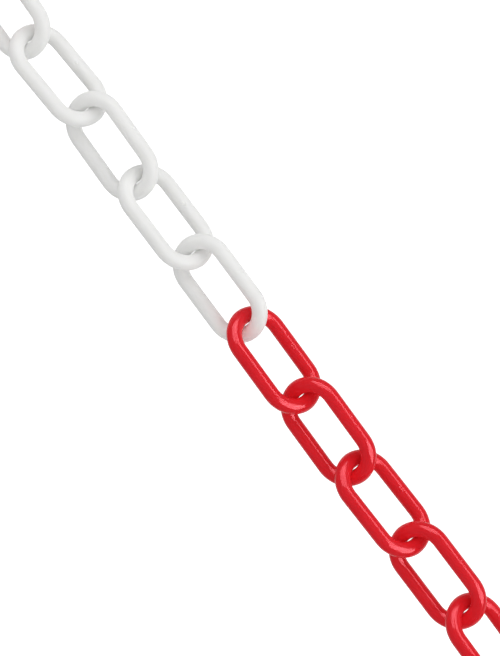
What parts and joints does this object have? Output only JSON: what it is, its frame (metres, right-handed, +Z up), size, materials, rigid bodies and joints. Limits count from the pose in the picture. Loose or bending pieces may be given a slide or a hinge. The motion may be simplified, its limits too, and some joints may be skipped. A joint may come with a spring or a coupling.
{
  "type": "plastic barrier chain",
  "caption": "Length of red and white plastic barrier chain: closed oval links hooked through each other, each swinging on its neighbour.",
  "frame": {"origin": "on the surface that the chain lies on, under the middle of its bounding box", "axes": "+X along the chain, from the red end loop to the white end loop; +Z up, away from the surface; +Y completes the right-handed frame"},
  "size_m": [0.6832, 0.0236, 0.0169],
  "materials": {
    "red_plastic": "glossy moulded polyethylene, coloured right through",
    "white_plastic": "satin moulded polyethylene, coloured right through"
  },
  "bodies": {
    "link_01": {"link_01_red": "red_plastic"},
    "link_02": {"link_02_red": "red_plastic"},
    "link_03": {"link_03_red": "red_plastic"},
    "link_04": {"link_04_red": "red_plastic"},
    "link_05": {"link_05_red": "red_plastic"},
    "link_06": {"link_06_white": "white_plastic"},
    "link_07": {"link_07_white": "white_plastic"},
    "link_08": {"link_08_white": "white_plastic"},
    "link_09": {"link_09_white": "white_plastic"},
    "link_10": {"link_10_white": "white_plastic"},
    "link_11": {"link_11_red": "red_plastic"},
    "link_12": {"link_12_red": "red_plastic"},
    "link_13": {"link_13_red": "red_plastic"},
    "link_14": {"link_14_red": "red_plastic"},
    "link_15": {"link_15_red": "red_plastic"},
    "link_16": {"link_16_white": "white_plastic"},
    "link_17": {"link_17_white": "white_plastic"},
    "link_18": {"link_18_white": "white_plastic"},
    "link_19": {"link_19_white": "white_plastic"},
    "link_20": {"link_20_white": "white_plastic"}
  },
  "joints": [
    {"name": "swing_01_02", "type": "hinge", "parent": "link_01", "child": "link_02", "pos_m": [-0.2988, 0.00035, 0.00844], "axis": [-0.0136, 0.777, -0.6293], "range_deg": [-90, 90]},
    {"name": "swing_02_03", "type": "hinge", "parent": "link_02", "child": "link_03", "pos_m": [-0.26525, -0.00017, 0.00844], "axis": [0.0068, 0.7771, 0.6293], "range_deg": [-90, 90]},
    {"name": "swing_03_04", "type": "hinge", "parent": "link_03", "child": "link_04", "pos_m": [-0.2317, 0.00017, 0.00844], "axis": [0.0068, -0.7771, 0.6293], "range_deg": [-90, 90]},
    {"name": "swing_04_05", "type": "hinge", "parent": "link_04", "child": "link_05", "pos_m": [-0.19815, -0.00035, 0.00844], "axis": [-0.0136, -0.777, -0.6293], "range_deg": [-90, 90]},
    {"name": "swing_05_06", "type": "hinge", "parent": "link_05", "child": "link_06", "pos_m": [-0.1646, 0.00017, 0.00844], "axis": [-0.0068, 0.7771, -0.6293], "range_deg": [-90, 90]},
    {"name": "swing_06_07", "type": "hinge", "parent": "link_06", "child": "link_07", "pos_m": [-0.13106, -0.0007, 0.00844], "axis": [0.0271, 0.7767, 0.6293], "range_deg": [-90, 90]},
    {"name": "swing_07_08", "type": "hinge", "parent": "link_07", "child": "link_08", "pos_m": [-0.09752, 0.00087, 0.00844], "axis": [0.0339, -0.7764, 0.6293], "range_deg": [-90, 90]},
    {"name": "swing_08_09", "type": "hinge", "parent": "link_08", "child": "link_09", "pos_m": [-0.06396, -0.00052, 0.00844], "axis": [-0.0203, -0.7769, -0.6293], "range_deg": [-90, 90]},
    {"name": "swing_09_10", "type": "hinge", "parent": "link_09", "child": "link_10", "pos_m": [-0.0304, 0, 0.00844], "axis": [0, 0.7771, -0.6293], "range_deg": [-90, 90]},
    {"name": "swing_10_11", "type": "hinge", "parent": "link_10", "child": "link_11", "pos_m": [0.00315, -0.00017, 0.00844], "axis": [0.0068, 0.7771, 0.6293], "range_deg": [-90, 90]},
    {"name": "swing_11_12", "type": "hinge", "parent": "link_11", "child": "link_12", "pos_m": [0.0367, -0.00035, 0.00844], "axis": [-0.0136, -0.777, 0.6293], "range_deg": [-90, 90]},
    {"name": "swing_12_13", "type": "hinge", "parent": "link_12", "child": "link_13", "pos_m": [0.07025, -0.00035, 0.00844], "axis": [-0.0136, -0.777, -0.6293], "range_deg": [-90, 90]},
    {"name": "swing_13_14", "type": "hinge", "parent": "link_13", "child": "link_14", "pos_m": [0.1038, 0.00035, 0.00844], "axis": [-0.0136, 0.777, -0.6293], "range_deg": [-90, 90]},
    {"name": "swing_14_15", "type": "hinge", "parent": "link_14", "child": "link_15", "pos_m": [0.13735, 0, 0.00844], "axis": [0, 0.7771, 0.6293], "range_deg": [-90, 90]},
    {"name": "swing_15_16", "type": "hinge", "parent": "link_15", "child": "link_16", "pos_m": [0.1709, -0.00035, 0.00844], "axis": [-0.0136, -0.777, 0.6293], "range_deg": [-90, 90]},
    {"name": "swing_16_17", "type": "hinge", "parent": "link_16", "child": "link_17", "pos_m": [0.20445, 0.00035, 0.00844], "axis": [0.0136, -0.777, -0.6293], "range_deg": [-90, 90]},
    {"name": "swing_17_18", "type": "hinge", "parent": "link_17", "child": "link_18", "pos_m": [0.238, -0.00017, 0.00844], "axis": [0.0068, 0.7771, -0.6293], "range_deg": [-90, 90]},
    {"name": "swing_18_19", "type": "hinge", "parent": "link_18", "child": "link_19", "pos_m": [0.27155, 0.00017, 0.00844], "axis": [-0.0068, 0.7771, 0.6293], "range_deg": [-90, 90]},
    {"name": "swing_19_20", "type": "hinge", "parent": "link_19", "child": "link_20", "pos_m": [0.3051, -0.00017, 0.00844], "axis": [-0.0068, -0.7771, 0.6293], "range_deg": [-90, 90]}
  ]
}
